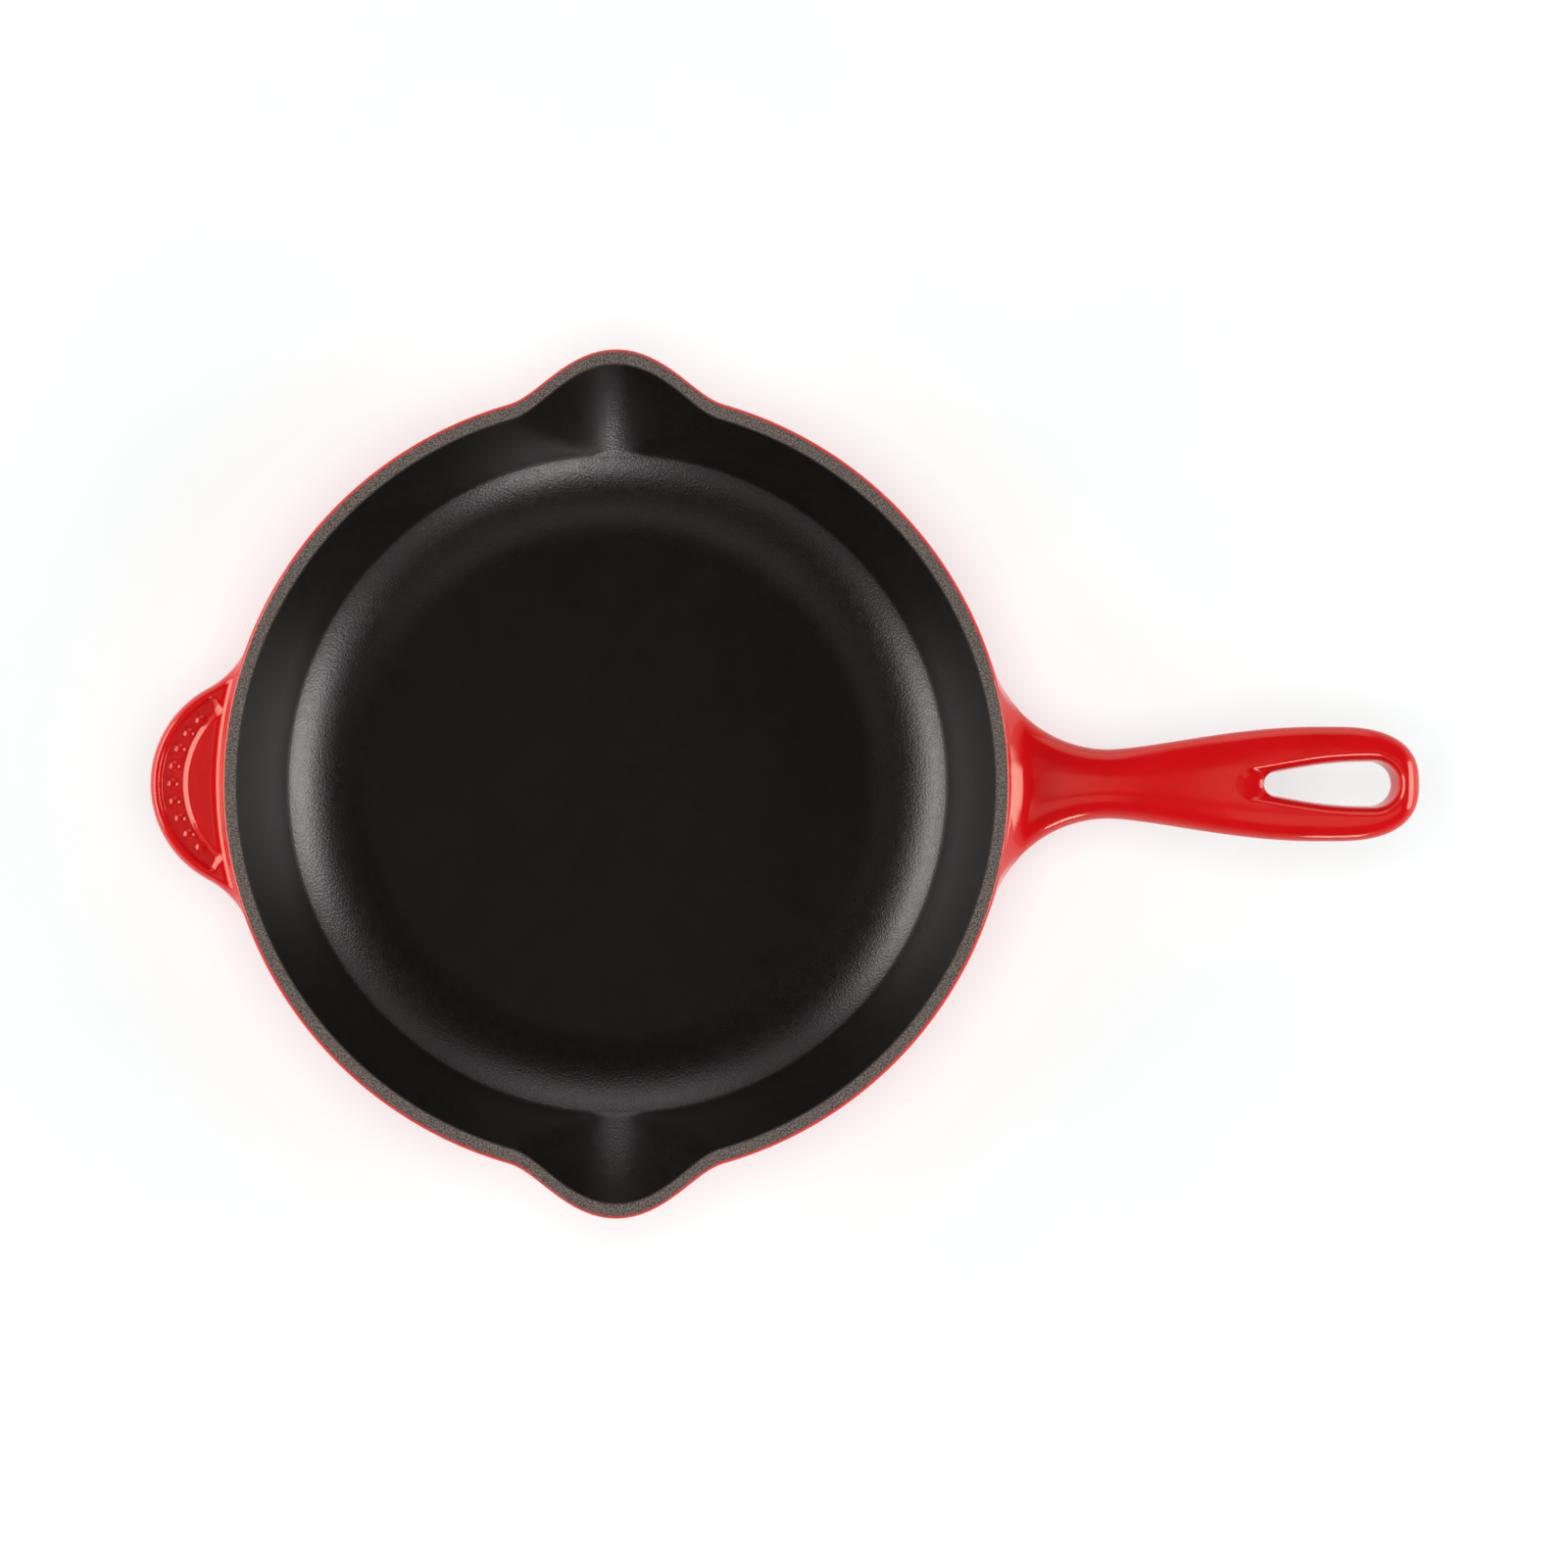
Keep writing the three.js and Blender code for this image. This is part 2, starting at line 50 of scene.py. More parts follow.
RIM_HEIGHT = 49
RIM_RADIUS = 130
RIM_INNER_RADIUS = 124.7
RIM_EDGE_ROUND = 0.6
RIM_GREY_TO = 129.1
RIM_SHOULDER_DROP = 1.6

# The floor sweeps up in a wide round as far as a slope, and bends tightly from there into the wall.
FLOOR_HEIGHT = 5
FLOOR_ROUND = 40
BEND_FROM_SLOPE = math.radians(42)
BEND_ROUND = 5
WALL_ANGLE = math.radians(25)
OUTER_FLAT_RADIUS = 89.5
OUTER_WALL_ANGLE = math.radians(27)

BASE_RADIUS = 86
BASE_STEP = 1

LIP_REACH = 13.3
LIP_HALF_WIDTH = 36
LIP_LOW_WIDTH_SHARE = 0.36
LIP_START_HEIGHT = 11.5
LIP_RISE_POWER = 1.7

ENAMEL = 0.4

HANDLE_START = 112
HANDLE_NECK = 162.5
HANDLE_NECK_HALF = 11.5
HANDLE_ROOT_RADIUS = 40
HANDLE_ROOT_TURN = 0.965
HANDLE_WIDEST = 230
HANDLE_WIDEST_HALF = 18.9
HANDLE_SWELL_POWER = 0.8
HANDLE_END_FROM = 236
HANDLE_END = 264.2
HANDLE_END_POWER = 2.55
HANDLE_ROOT_TOP = 39.6
HANDLE_RISE_FROM = 120
HANDLE_RISE_TO = 245
HANDLE_HALF_THICKNESS = 6.3
HANDLE_ROOT_EXTRA = 5
HANDLE_ROOT_FADE = 20

# The powers of the handle's section, at its root, neck and grip: lower is a sharper edge.
HANDLE_ROOT_TO = 130
HANDLE_EDGE_POWERS = (1.9, 2.4, 3)

HOLE_NARROW_X = 217.3
HOLE_NARROW_RADIUS = 3.8
HOLE_WIDE_X = 247.8
HOLE_WIDE_RADIUS = 7.2
HOLE_DRAFT = 0.4
HOLE_END_DRAFT = 2
HOLE_SIDE_ANGLE = math.radians(10)
HOLE_SIDE_PULL = 0.42
HOLE_ROUND = 3.2
HOLE_ROUND_DEPTH = 4.2
HOLE_ROUND_POWER = 1.5
HOLE_SCOOP = 8
HOLE_SCOOP_WIDENING = 0.4

HELPER_CENTRE = -118
HELPER_RADIUS = 35.8
HELPER_ROOT_RADIUS = 29
HELPER_TOP = 45
HELPER_THICKNESS = 9
HELPER_EDGE_WIDTH = 2.6
HELPER_BOTTOM_ROUND = 7
HELPER_BAND_FROM = 4.4
HELPER_BAND_DEPTH = 1.6
HELPER_SLOPE_WIDTH = 3

# --- Dimensions that the CAD has otherwise, or is too coarse for ----------------------------------

# The groove inside each lip starts higher than the lip outside. In the CAD both start at one height.
INNER_LIP_START_HEIGHT = 15.5

# How far the red coat bulges out and up between the rim's grey band and the top of the outer wall.
SHOULDER_BULGE = (0.22, 0.12)

# The handle rises 0.1 less than in the CAD, so that its smooth top is no higher than the faceted one.
HANDLE_RISE = 21.3

# The powers of the section's crest. At the root it is fuller than in the CAD, and its ridge has a round.
HANDLE_CREST_POWERS = (2.2, 2.4, 3)
HANDLE_CREST_ROUND = 3

# How much narrower the handle's outline gets as it meets the rim, from a share of its root radius on.
HANDLE_ROOT_TUCK = 0.3
HANDLE_TUCK_FROM = 0.85

# The slope from the handle's top up to the rim: its width on the middle line and far to the side, how
# soon it narrows between them, and how much of the section's own fall it makes up for at the rim.
HANDLE_SLOPE_MIDDLE = 10.5
HANDLE_SLOPE_SIDE = 5
HANDLE_SLOPE_SPREAD = 10.5
HANDLE_SLOPE_LEVEL = 0.6

# The round under the handle's root, and the share of the half width where it and the slope fade out.
HANDLE_FILLET_BELOW = 5
HANDLE_ROOT_FADES_FROM = 0.92

# The hole's first rings: height over its foot, and share of its wall's draft.
HOLE_FOOT_RINGS = ((1.2, 0.05), (3, 0.2))

# The sunk band's inner edge is an arc of its own, the band fades out at both ends, and carries beads.
HELPER_PLATFORM_CENTRE = -110
HELPER_PLATFORM_RADIUS = 30.5
HELPER_BAND_ENDS = (math.radians(59), math.radians(65))
BEAD_COUNT = 9
BEAD_SPAN = math.radians(96)
BEAD_RADIUS = 2.1
BEAD_HEIGHT = 1
BEAD_INTO_BAND = 3.2

# The rounds over and under the helper handle's root.
HELPER_FILLET = 4.4

# --- The meshes: how they are divided, and where they end out of sight ----------------------------

RING_STEPS = 320
FLAT_STEPS = 6
WALL_STEPS = 16
WIDE_ROUND_STEPS = 24
OUTER_ROUND_STEPS = 18
TIGHT_ROUND_STEPS = 6
RIM_EDGE_STEPS = 5
HANDLE_ACROSS_STEPS = 22
HANDLE_ALONG_STEPS = 109
HOLE_OUTLINE_STEPS = 20
HOLE_WALL_STEPS = 4
HOLE_ROUND_STEPS = 8
HELPER_ROOT_STEPS = 20
HELPER_TAB_STEPS = 240
HELPER_EDGE_STEPS = 12
HELPER_UPPER_STEPS = 83
HELPER_LOWER_STEPS = 23

# Faces that meet at more than this angle keep a crisp edge, and points this close become one.
SHARP_ANGLE = math.radians(75)
WELD_DISTANCE = 0.001

# How far the handles' coats run on inside the pan's outer wall.
HANDLE_BURIED = 1.5
HELPER_BURIED = 0.5

# The handle's mesh: where the search for its root starts and how often it halves, how its lines fan out
# round the hole, where the lower ones start to shift to the hole's foot, and its least half width.
ROOT_SEARCH = (92, 135)
ROOT_SEARCH_HALVINGS = 40
HANDLE_FAN_POWER = 1.9
HANDLE_SHIFT_FROM = 170
LEAST_HALF_WIDTH = 1e-6

# The helper handle's mesh: the least length of a line across it, and the most that its edge takes of it.
HELPER_LEAST_SPAN = 0.05
HELPER_EDGE_SHARE = 0.6

# The black coat's grain: this share of it on the flat floor, growing to all of it between two radii, and
# gone from the wall between two heights, except in a lip's groove, where it ends between two distances.
FLOOR_GRAIN = 0.35
FULL_GRAIN_RADII = (78, 92)
PLAIN_WALL_HEIGHTS = (14.5, 18)
GROOVE_GRAIN_SIDES = (3, 6)


def smoothstep(value, low, high):
    share = np.clip((value - low) / (high - low), 0, 1)
    return share * share * (3 - 2 * share)


def lerp(first, last, share):
    return first + (last - first) * share


# --- Meshes ---------------------------------------------------------------------------------------

def grid_faces(rows, columns, closed=False, first=0):
    """Quads between rows of points, from an index on. A closed grid joins its last column to its first."""
    faces = []
    for i in range(rows - 1):
        here = first + i * columns
        above = here + columns
        for j in range(columns if closed else columns - 1):
            k = (j + 1) % columns
            faces.append((here + j, here + k, above + k, above + j))
    return faces


def flipped(faces):
    return [face[::-1] for face in faces]


def piece(name, node, points, faces, marks=None, mirrored=False):
    """A coat: a smooth skin through the points, thickened inwards, that stands for one CAD node."""
    mesh = bpy.data.meshes.new(name)
    mesh.from_pydata((np.asarray(points) * MM).tolist(), [], faces)
    for mark, values in (marks or {}).items():
        attribute = mesh.attributes.new(mark, "FLOAT", "POINT")
        attribute.data.foreach_set("value", np.asarray(values, dtype=float))
    skin = bpy.data.objects.new(name, mesh)
    bpy.context.collection.objects.link(skin)
    if mirrored:
        mirror = skin.modifiers.new("mirror", "MIRROR")
        mirror.use_axis = (False, True, False)
        mirror.merge_threshold = WELD_DISTANCE * MM
    weld = skin.modifiers.new("weld", "WELD")
    weld.merge_threshold = WELD_DISTANCE * MM
    thickness = skin.modifiers.new("thickness", "SOLIDIFY")
    thickness.thickness = ENAMEL * MM
    thickness.offset = -1
    made = bpy.data.meshes.new_from_object(skin.evaluated_get(bpy.context.evaluated_depsgraph_get()))
    skin.modifiers.clear()
    skin.data = made
    made.name = name
    made.polygons.foreach_set("use_smooth", [True] * len(made.polygons))
    made.set_sharp_from_angle(angle=SHARP_ANGLE)
    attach(skin, "root")
    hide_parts(node)
    return skin


# --- The pan's profile: radius and height ---------------------------------------------------------

INNER_TOP = (RIM_INNER_RADIUS, RIM_HEIGHT - RIM_EDGE_ROUND)
SHOULDER_TOP = (RIM_GREY_TO, RIM_HEIGHT - RIM_EDGE_ROUND / 2)
OUTER_TOP = (RIM_RADIUS, RIM_HEIGHT - RIM_SHOULDER_DROP)


def arc(centre, radius, start, end, steps):
    angles = np.linspace(start, end, steps + 1)
    return np.column_stack((centre[0] + radius * np.cos(angles), centre[1] + radius * np.sin(angles)))


def line(start, end, steps):
    return np.linspace(start, end, steps + 1)


def with_wall(foot, top):
    """A foot that ends at a wall, with the wall's points up to its top."""
    return np.vstack((foot, line(foot[-1], top, WALL_STEPS)[1:]))


def inner_foot():
    """The wide round and the tight bend between the floor and the inner wall."""
    start = -math.pi / 2
    bend_from = start + BEND_FROM_SLOPE
    bend_centre = (FLOOR_ROUND - BEND_ROUND) * math.cos(bend_from)
    bend_height = FLOOR_HEIGHT + FLOOR_ROUND + (FLOOR_ROUND - BEND_ROUND) * math.sin(bend_from)
    foot_top = bend_height - BEND_ROUND * math.sin(WALL_ANGLE)
    wall_foot = INNER_TOP[0] - (INNER_TOP[1] - foot_top) * math.tan(WALL_ANGLE)
    floor_edge = wall_foot - BEND_ROUND * math.cos(WALL_ANGLE) - bend_centre
    wide_centre = (floor_edge, FLOOR_HEIGHT + FLOOR_ROUND)
    tight_centre = (floor_edge + bend_centre, bend_height)
    return np.vstack((
        arc(wide_centre, FLOOR_ROUND, start, bend_from, WIDE_ROUND_STEPS),
        arc(tight_centre, BEND_ROUND, bend_from, -WALL_ANGLE, TIGHT_ROUND_STEPS)[1:],
    ))


def outer_foot():
    """The round between the step round the base and the outer wall."""
    flat_to_top = OUTER_TOP[0] - OUTER_FLAT_RADIUS
    rise = OUTER_TOP[1] - BASE_STEP
    across = flat_to_top * math.cos(OUTER_WALL_ANGLE) - rise * math.sin(OUTER_WALL_ANGLE)
    radius = across / (1 - math.sin(OUTER_WALL_ANGLE))
    centre = (OUTER_FLAT_RADIUS, BASE_STEP + radius)
    return arc(centre, radius, -math.pi / 2, -OUTER_WALL_ANGLE, OUTER_ROUND_STEPS)


def lip_opening(height, start):
    """How far a pouring lip has opened at a height: 0 where it starts, soon wide, and 1 at the rim."""
    climbed = np.clip((height - start) / (RIM_HEIGHT - start), 0, 1)
    return 1 - (1 - climbed) ** LIP_RISE_POWER


def along_rim_from_lip(angle):
    """The distance along the rim to the middle of the nearer pouring lip."""
    return RIM_RADIUS * np.abs(np.abs(np.arctan2(np.sin(angle), np.cos(angle))) - math.pi / 2)


def lip_bulge(angle, opening):
    half_width = LIP_HALF_WIDTH * lerp(LIP_LOW_WIDTH_SHARE, 1, opening)
    return LIP_REACH * opening * np.maximum(0, 1 - (along_rim_from_lip(angle) / half_width) ** 2) ** 2


def revolved(profile, lip_start=LIP_START_HEIGHT):
    """Points and faces for a profile turned about Z, with its pouring lips."""
    angles = np.linspace(0, 2 * math.pi, RING_STEPS, endpoint=False)
    radius, height = (column[:, None] for column in np.asarray(profile).T)
    radius = radius + np.where(radius > 0, lip_bulge(angles[None, :], lip_opening(height, lip_start)), 0)
    points = np.stack((radius * np.cos(angles), radius * np.sin(angles), height + 0 * radius), axis=-1)
    return points.reshape(-1, 3), flipped(grid_faces(len(profile), RING_STEPS, closed=True))


# --- The pan's four coats -------------------------------------------------------------------------

def cooking_surface_grain(points):
    """How strong the black coat's grain is at each point."""
    x, y, height = points.T
    on_round = lerp(FLOOR_GRAIN, 1, smoothstep(np.hypot(x, y), *FULL_GRAIN_RADII))
    in_groove = 1 - smoothstep(along_rim_from_lip(np.arctan2(y, x)), *GROOVE_GRAIN_SIDES)
    return lerp(on_round, in_groove, smoothstep(height, *PLAIN_WALL_HEIGHTS))


def make_cooking_surface():
    foot = inner_foot()
    flat = line((0, FLOOR_HEIGHT), foot[0], FLAT_STEPS)[:-1]
    points, faces = revolved(np.vstack((flat, with_wall(foot, INNER_TOP))), INNER_LIP_START_HEIGHT)
    return piece(
        "cooking_surface_coat", "cooking_surface_enamel", points, faces,
        marks={"grain": cooking_surface_grain(points)},
    )


def make_rim():
    round_centre = (RIM_INNER_RADIUS + RIM_EDGE_ROUND, RIM_HEIGHT - RIM_EDGE_ROUND)
    flat_from = (RIM_INNER_RADIUS + RIM_EDGE_ROUND, RIM_HEIGHT)
    flat_to = (RIM_GREY_TO - RIM_EDGE_ROUND, RIM_HEIGHT)
    profile = np.vstack((
        INNER_TOP,
        arc(round_centre, RIM_EDGE_ROUND, math.pi, math.pi / 2, RIM_EDGE_STEPS)[1:],
        line(flat_from, flat_to, FLAT_STEPS)[1:],
        SHOULDER_TOP,
    ))
    points, faces = revolved(profile)
    across = np.repeat(profile[:, 0], RING_STEPS)
    return piece(
        "rim_coat", "rim_enamel", points, faces,
        marks={"from_red": RIM_GREY_TO - across, "from_black": across - RIM_INNER_RADIUS},
    )


def make_pan_outside():
    points, faces = revolved(np.vstack((
        SHOULDER_TOP,
        lerp(np.array(SHOULDER_TOP), np.array(OUTER_TOP), 0.5) + SHOULDER_BULGE,
        with_wall(outer_foot(), OUTER_TOP)[::-1],
        (BASE_RADIUS + BASE_STEP, BASE_STEP),
    )))
    return piece("pan_outside_coat", "pan_outside_enamel", points, faces)


def make_base():
    points, faces = revolved(np.vstack((
        arc((BASE_RADIUS, BASE_STEP), BASE_STEP, 0, -math.pi / 2, TIGHT_ROUND_STEPS),
        line((BASE_RADIUS, 0), (0, 0), FLAT_STEPS)[1:],
    )))
    return piece("base_coat", "base_enamel", points, faces)


# --- Both handles' roots --------------------------------------------------------------------------

# The share of its radius by which a round below a handle ends inside the line where handle and wall meet.
ROUND_TUCK = math.cos(OUTER_WALL_ANGLE) - math.tan((math.pi / 2 - OUTER_WALL_ANGLE) / 2)


def outside_rim(points):
    """How far points stand outside the rim's circle, seen from above."""
    return np.hypot(points[..., 0], points[..., 1]) - RIM_RADIUS


def from_wall(points):
    """How far points stand off the pan's outer wall."""
    wall_slant = (OUTER_TOP[1] - points[..., 2]) * math.tan(OUTER_WALL_ANGLE)
    return (outside_rim(points) + wall_slant) * math.cos(OUTER_WALL_ANGLE)


def root_round(points, radius, above):
    """How far the round at a handle's root stands off the handle, towards the wall over or under it."""
    width = radius * math.cos(OUTER_WALL_ANGLE)
    if above:
        outside = outside_rim(points)
    else:
        outside = from_wall(points) / math.cos(OUTER_WALL_ANGLE) + ROUND_TUCK * radius
    share = np.clip(1 - outside / width, 0, 1)
    return radius - np.sqrt(radius ** 2 - (share * width) ** 2)


# --- The long handle ------------------------------------------------------------------------------

def root_slope(points):
    """How far the slope up to the rim stands off the handle's top, which it brings nearly level across.

    At the rim it is 45 degrees on the handle's middle line, and steeper towards the sides.
    """
    spread = 1 + (points[..., 1] / HANDLE_SLOPE_SPREAD) ** 2
    width = HANDLE_SLOPE_SIDE + (HANDLE_SLOPE_MIDDLE - HANDLE_SLOPE_SIDE) / spread
    fall = handle_top(points[..., 0]) - points[..., 2]
    share = np.clip(1 - outside_rim(points) / width, 0, 1)
    return (width / 2 + HANDLE_SLOPE_LEVEL * fall) * share ** 2


def handle_half_width(x):
    """Half of the handle's width: a root arc into the rim, a swelling grip and a rounded end."""
    root_length = HANDLE_ROOT_RADIUS * HANDLE_ROOT_TURN
    back = np.clip(HANDLE_NECK - x, 0, root_length)
    tuck = HANDLE_ROOT_TUCK * smoothstep(back, HANDLE_TUCK_FROM * HANDLE_ROOT_RADIUS, root_length)
    root = HANDLE_NECK_HALF + HANDLE_ROOT_RADIUS - np.sqrt(HANDLE_ROOT_RADIUS ** 2 - back ** 2) - tuck
    grip_share = np.clip((x - HANDLE_NECK) / (HANDLE_WIDEST - HANDLE_NECK), 0, 1)
    swell = smoothstep(grip_share ** HANDLE_SWELL_POWER, 0, 1)
    grip = lerp(HANDLE_NECK_HALF, HANDLE_WIDEST_HALF, swell)
    end_share = np.clip((x - HANDLE_END_FROM) / (HANDLE_END - HANDLE_END_FROM), 0, 1)
    end = HANDLE_WIDEST_HALF * (1 - end_share ** HANDLE_END_POWER) ** (1 / HANDLE_END_POWER)
    return np.where(x <= HANDLE_NECK, root, np.where(x >= HANDLE_END_FROM, end, grip))


def handle_top(x):
    return HANDLE_ROOT_TOP + HANDLE_RISE * smoothstep(x, HANDLE_RISE_FROM, HANDLE_RISE_TO)


def handle_root_share(x):
    """How much of the root's extra thickness is left: 1 at the handle's start, fading to 0."""
    return np.exp((HANDLE_START - x) / HANDLE_ROOT_FADE)


def handle_half_thickness(x):
    round_off = np.clip((x - (HANDLE_END - HANDLE_HALF_THICKNESS)) / HANDLE_HALF_THICKNESS, 0, 1)
    return (HANDLE_HALF_THICKNESS + HANDLE_ROOT_EXTRA * handle_root_share(x)) * np.sqrt(1 - round_off ** 2)


def handle_middle(x):
    return handle_top(x) - handle_half_thickness(np.minimum(x, HANDLE_END - HANDLE_HALF_THICKNESS))


def along_handle(values, x):
    """A number that changes smoothly along the handle, from its root over its neck to its grip."""
    root, neck, grip = values
    to_neck = smoothstep(x, HANDLE_ROOT_TO, HANDLE_NECK)
    to_grip = smoothstep(x, HANDLE_NECK, HANDLE_WIDEST)
    return root + (neck - root) * to_neck + (grip - neck) * to_grip


def handle_surface(x, y, side):
    """Points on the handle's upper surface, side 1, or on its lower one, side -1, without its root."""
    half_width = np.maximum(handle_half_width(x), LEAST_HALF_WIDTH)
    crest = along_handle((HANDLE_CREST_ROUND, 0, 0), x)
    across = (np.hypot(y, crest) - crest) / (np.hypot(half_width, crest) - crest)
    shoulder = 1 - np.clip(across, 0, 1) ** along_handle(HANDLE_CREST_POWERS, x)
    height = handle_half_thickness(x) * shoulder ** (1 / along_handle(HANDLE_EDGE_POWERS, x))
    return np.stack((x, y, handle_middle(x) + side * height), axis=-1)


def handle_line(x, share, side):
    """Points along a line at a share of the handle's half width, on a side as above, with its root."""
    points = handle_surface(x, share * handle_half_width(x), side)
    inside_edge = 1 - smoothstep(share, HANDLE_ROOT_FADES_FROM, 1)
    if side > 0:
        points[..., 2] += inside_edge * root_slope(points)
    else:
        points[..., 2] -= inside_edge * root_round(points, HANDLE_FILLET_BELOW, above=False)
    return points


def handle_root_x(share, side):
    """Where such a line lies well inside the pan's outer wall, found by halving."""
    low, high = ROOT_SEARCH
    for _ in range(ROOT_SEARCH_HALVINGS):
        x = (low + high) / 2
        if from_wall(handle_line(np.array(x), share, side)) > -HANDLE_BURIED:
            high = x
        else:
            low = x
    return low


def hole_outline(draft, flare):
    """Half of the hanging hole's teardrop outline, from its narrow end to its wide end.

    The draft widens it from 0 at the bottom to 1 where its wall ends, and the flare opens it from there,
    0, to the mouth on top, 1.
    """
    wide_x = HOLE_WIDE_X + (HOLE_END_DRAFT - HOLE_DRAFT) * draft
    wide_radius = HOLE_WIDE_RADIUS + HOLE_DRAFT * draft + HOLE_ROUND * flare
    narrow_x = HOLE_NARROW_X - HOLE_SCOOP * flare
    narrow_radius = HOLE_NARROW_RADIUS + HOLE_DRAFT * draft + HOLE_ROUND * flare * HOLE_SCOOP_WIDENING
    tilt = math.pi / 2 + HOLE_SIDE_ANGLE
    start = np.array((narrow_x + narrow_radius * math.cos(tilt), narrow_radius * math.sin(tilt)))
    end = np.array((wide_x, wide_radius))
    pull = (wide_x - narrow_x) * HOLE_SIDE_PULL
    leaving = start + pull * np.array((math.cos(HOLE_SIDE_ANGLE), math.sin(HOLE_SIDE_ANGLE)))
    arriving = end - np.array((pull, 0))
    share = np.linspace(0, 1, HOLE_OUTLINE_STEPS + 1)[1:, None]
    side = (
        (1 - share) ** 3 * start
        + 3 * share * (1 - share) ** 2 * leaving
        + 3 * share ** 2 * (1 - share) * arriving
        + share ** 3 * end
    )
    return np.vstack((
        arc((narrow_x, 0), narrow_radius, math.pi, tilt, HOLE_OUTLINE_STEPS // 2),
        side,
        arc((wide_x, 0), wide_radius, math.pi / 2, 0, HOLE_OUTLINE_STEPS)[1:],
    ))


def hole_rings():
    """The depth below the handle's top, draft and flare of the hole's rings, from near its foot upwards."""
    bottom = 2 * HANDLE_HALF_THICKNESS
    rings = [(bottom - height, draft, 0) for height, draft in HOLE_FOOT_RINGS]
    wall_depth, wall_draft, _ = rings[-1]
    for share in np.linspace(0, 1, HOLE_WALL_STEPS + 1)[1:-1]:
        rings.append((lerp(wall_depth, HOLE_ROUND_DEPTH, share), lerp(wall_draft, 1, share), 0))
    for turn in np.linspace(0, math.pi / 2, HOLE_ROUND_STEPS + 1):
        depth = HOLE_ROUND_DEPTH * (1 - math.sin(turn) ** HOLE_ROUND_POWER)
        rings.append((depth, 1, 1 - max(math.cos(turn), 0) ** HOLE_ROUND_POWER))
    return rings


def hanging_hole():
    """Rows of points on the hole's own faces, from its foot in the underside to its mouth on top."""
    foot = hole_outline(0, 0)
    rows = [handle_surface(foot[:, 0], foot[:, 1], -1)]
    for depth, draft, flare in hole_rings():
        plan = hole_outline(draft, flare)
        top = handle_top(plan[:, 0])
        fall = top - handle_surface(plan[:, 0], plan[:, 1], 1)[:, 2]
        rows.append(np.column_stack((plan, top - depth - fall * flare)))
    return np.array(rows)


def handle_silhouette(mouth):
    """Plan points on the handle's outline that fan round its end, one for each point of the mouth."""
    lengths = np.linalg.norm(np.diff(mouth, axis=0), axis=1)
    along = np.concatenate(([0], np.cumsum(lengths)))
    along /= along[-1]
    x = HANDLE_END - (HANDLE_END - mouth[0, 0]) * (1 - along) ** HANDLE_FAN_POWER
    return np.column_stack((x, handle_half_width(x)))


def make_long_handle():
    """Half of the handle, mirrored: lines from the wall to the hole and round it, and the hole's faces."""
    hole = hanging_hole()
    foot, mouth = hole[0][:, :2], hole[-1][:, :2]
    hole_x = mouth[0, 0]
    silhouette = handle_silhouette(mouth)
    along = np.linspace(0, 1, HANDLE_ALONG_STEPS, endpoint=False)
    shares = np.sin(np.linspace(0, math.pi / 2, HANDLE_ACROSS_STEPS + 1))
    lines = []
    for side, ring, across in ((1, mouth, shares), (-1, foot, shares[-2::-1])):
        for share in across:
            x = lerp(handle_root_x(share, side), hole_x, along)
            x = x + (ring[0, 0] - hole_x) * (1 - share) * smoothstep(x, HANDLE_SHIFT_FROM, hole_x)
            round_hole = handle_surface(*lerp(ring, silhouette, share).T, side)
            lines.append(np.vstack((handle_line(x, share, side), round_hole)))
    body = np.array(lines)
    points = np.vstack((body.reshape(-1, 3), hole.reshape(-1, 3)))
    body_faces = grid_faces(*body.shape[:2])
    hole_faces = grid_faces(*hole.shape[:2], first=body.shape[0] * body.shape[1])
    return piece("long_handle_coat", "long_handle_enamel", points, body_faces + hole_faces, mirrored=True)


# --- The helper handle ----------------------------------------------------------------------------

def helper_root_centre():
    """The centre of the arc on the +Y side that joins the helper handle's round tab to the rim."""
    to_rim = RIM_RADIUS + HELPER_ROOT_RADIUS
    to_tab = HELPER_RADIUS + HELPER_ROOT_RADIUS
    x = (to_rim ** 2 - to_tab ** 2 + HELPER_CENTRE ** 2) / (2 * HELPER_CENTRE)
    return np.array((x, math.sqrt(to_rim ** 2 - x ** 2)))


def helper_tab_angle():
    """The direction, from the helper handle's centre, where that arc meets its round tab."""
    root = helper_root_centre()
    return math.atan2(root[1], root[0] - HELPER_CENTRE)


def helper_edge_distance(points):
    """How far plan points stand in from the helper handle's outline."""
    offset = points - np.array((HELPER_CENTRE, 0))
    angle = np.abs(np.arctan2(offset[..., 1], offset[..., 0]))
    side_points = np.stack((points[..., 0], np.abs(points[..., 1])), axis=-1)
    in_root = np.linalg.norm(side_points - helper_root_centre(), axis=-1) - HELPER_ROOT_RADIUS
    in_tab = HELPER_RADIUS - np.linalg.norm(offset, axis=-1)
    return np.where(angle < helper_tab_angle(), in_root, in_tab)


def bead_centres():
    middle = HELPER_RADIUS - (HELPER_BAND_FROM + BEAD_INTO_BAND)
    angles = math.pi + np.linspace(-BEAD_SPAN / 2, BEAD_SPAN / 2, BEAD_COUNT)
    return np.column_stack((HELPER_CENTRE + middle * np.cos(angles), middle * np.sin(angles)))


